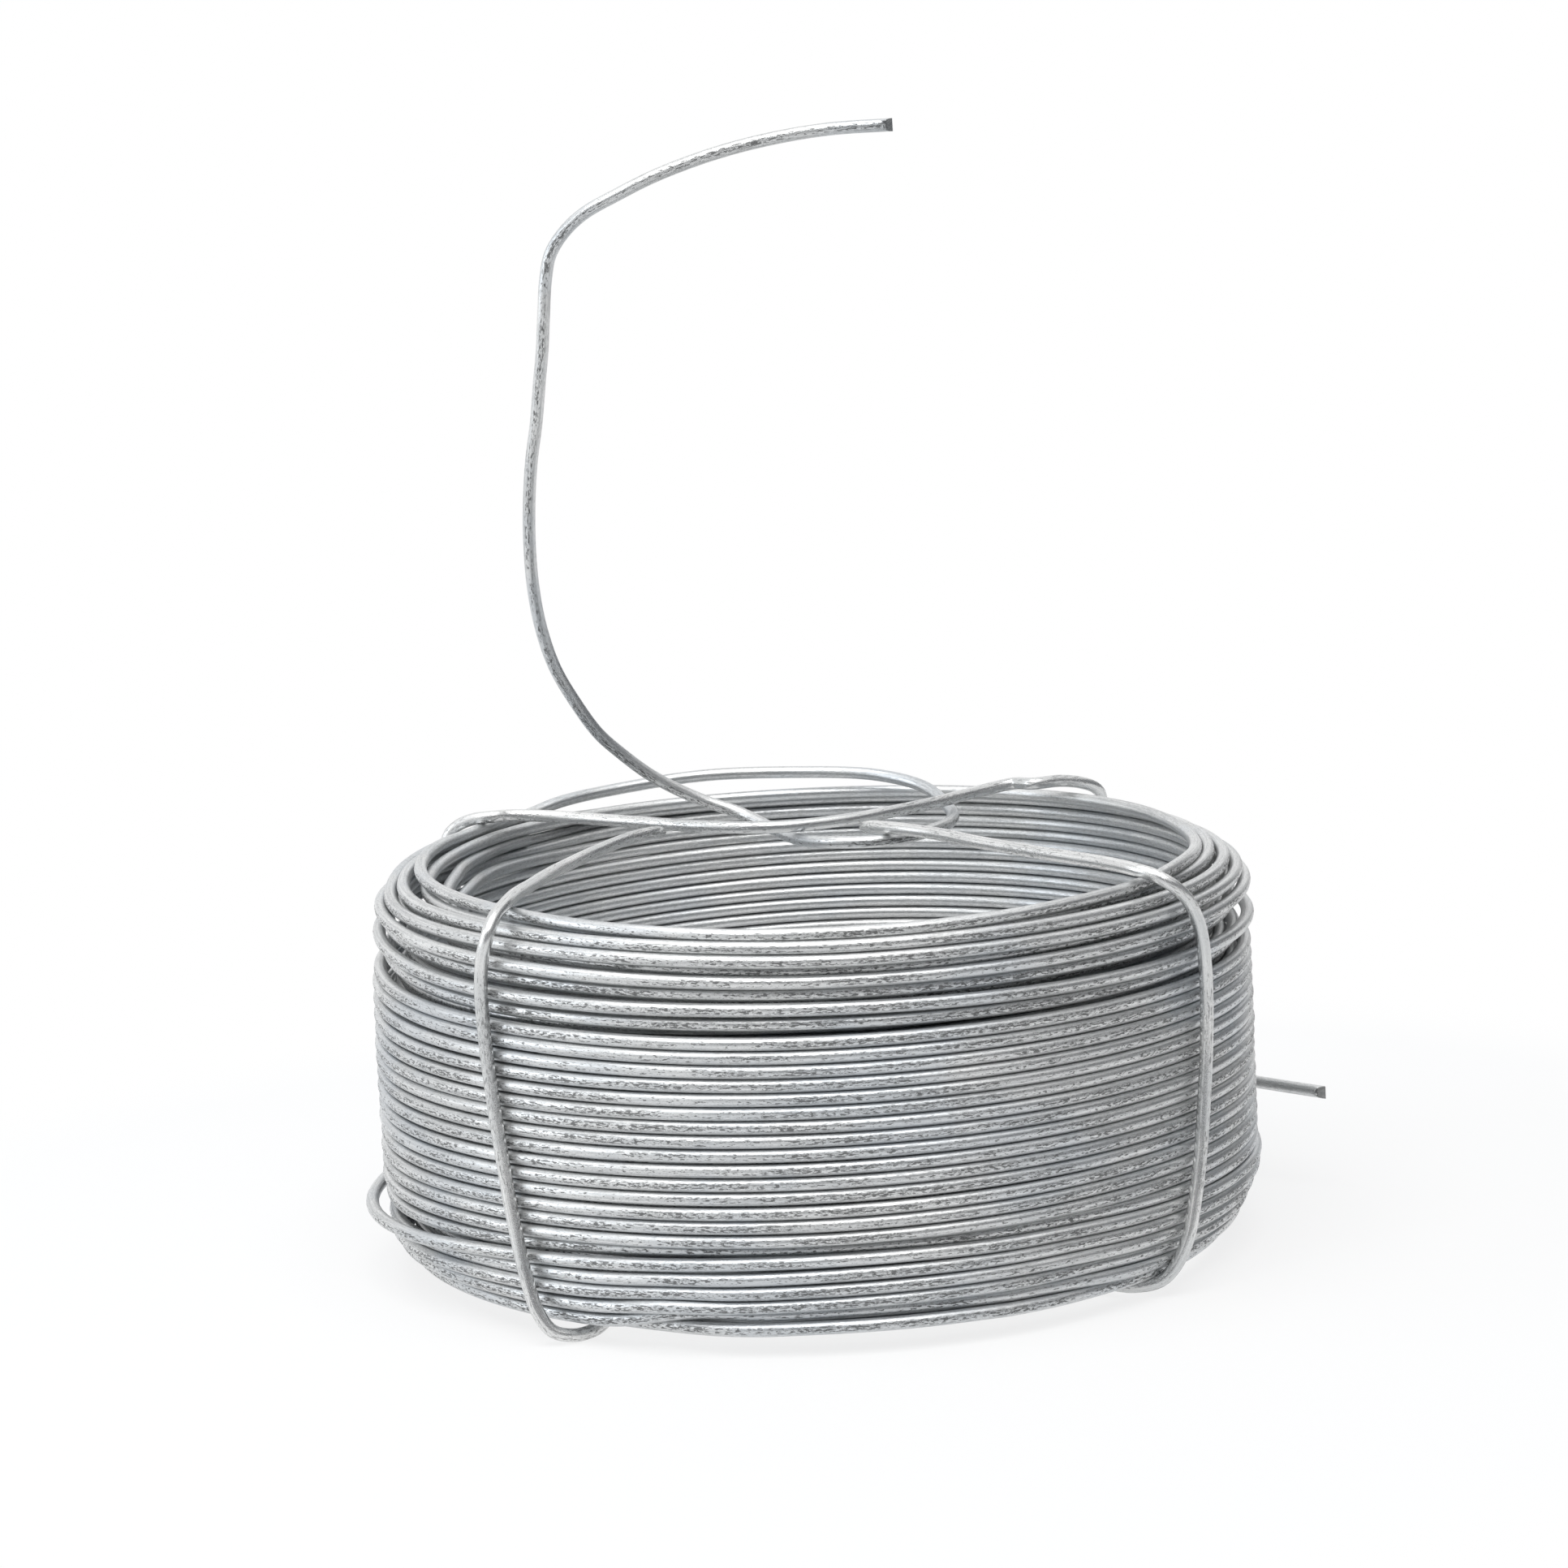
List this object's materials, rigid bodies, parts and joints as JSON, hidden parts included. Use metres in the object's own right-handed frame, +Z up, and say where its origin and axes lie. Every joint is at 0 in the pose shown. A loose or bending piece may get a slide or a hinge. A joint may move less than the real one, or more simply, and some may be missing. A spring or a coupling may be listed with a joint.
{
  "type": "coil of galvanized wire",
  "caption": "Flat-lying coil of galvanized steel wire with its bore, two free ends and a bent tie wire crossing over and under it.",
  "frame": {"origin": "on the coil's axis, at the level of the floor that the tie's loops rest on", "axes": "+Z up along the coil's axis, -Y the front, between the two front legs of the tie"},
  "size_m": [0.1488, 0.1364, 0.1729],
  "materials": {
    "coil_wire": "hot-dip zinc, dull grey with fine drawing streaks",
    "tie_wire": "hot-dip zinc, slightly smoother, with worn glints"
  },
  "bodies": {
    "root": {"wound_coil": "coil_wire", "long_end": "coil_wire", "short_end": "coil_wire", "tie_wire": "tie_wire"}
  },
  "joints": []
}
